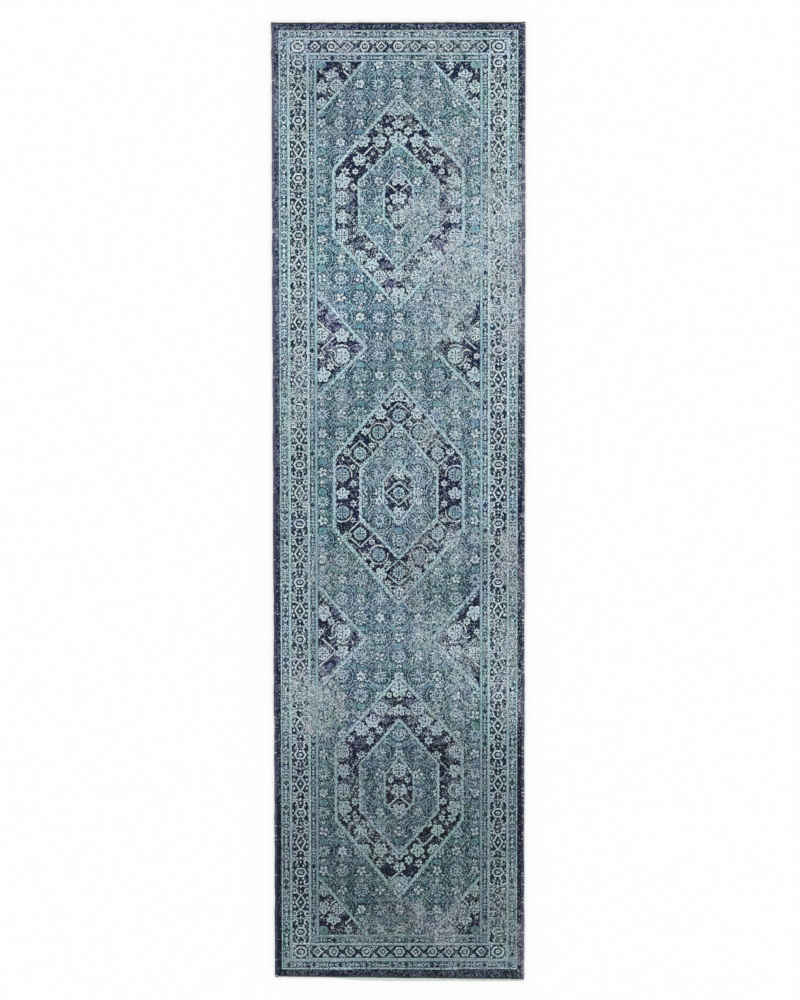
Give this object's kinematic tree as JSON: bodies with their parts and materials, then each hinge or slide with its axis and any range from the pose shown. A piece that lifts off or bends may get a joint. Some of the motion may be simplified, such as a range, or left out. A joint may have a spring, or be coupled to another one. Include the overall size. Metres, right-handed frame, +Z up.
{
  "type": "runner rug",
  "caption": "Long narrow low-pile floor rug with overlocked long edges and taped ends, laid flat to cover a hallway floor.",
  "frame": {"origin": "centre of the rug's footprint, on the floor it lies on", "axes": "+X across the rug, +Y along the rug towards its head end, +Z up out of the pile"},
  "size_m": [0.79, 3.01, 0.0075],
  "materials": {
    "pile": "matte low cut pile, printed and heat-set, distressed",
    "ground": "plain weave of spun jute and cotton",
    "latex": "matte latex size",
    "overlock_yarn": "wrapped yarn, navy with mauve-grey flecks",
    "cord": "twisted jute cord",
    "end_thread": "charcoal overlock thread",
    "tape": "pale aqua woven binding tape",
    "seam_thread": "polyester sewing thread",
    "label": "white satin ribbon, blank",
    "label_thread": "white sewing thread"
  },
  "bodies": {
    "root": {"pile_face": "pile", "ground_weave": "ground", "latex_backing": "latex", "overlock_left": "overlock_yarn", "overlock_right": "overlock_yarn", "filler_cord_left": "cord", "filler_cord_right": "cord", "end_overlock_head": "end_thread", "end_overlock_foot": "end_thread", "end_tape_head": "tape", "end_tape_foot": "tape", "tape_stitches_head": "seam_thread", "tape_stitches_foot": "seam_thread", "care_label": "label", "label_stitches": "label_thread"}
  },
  "joints": []
}
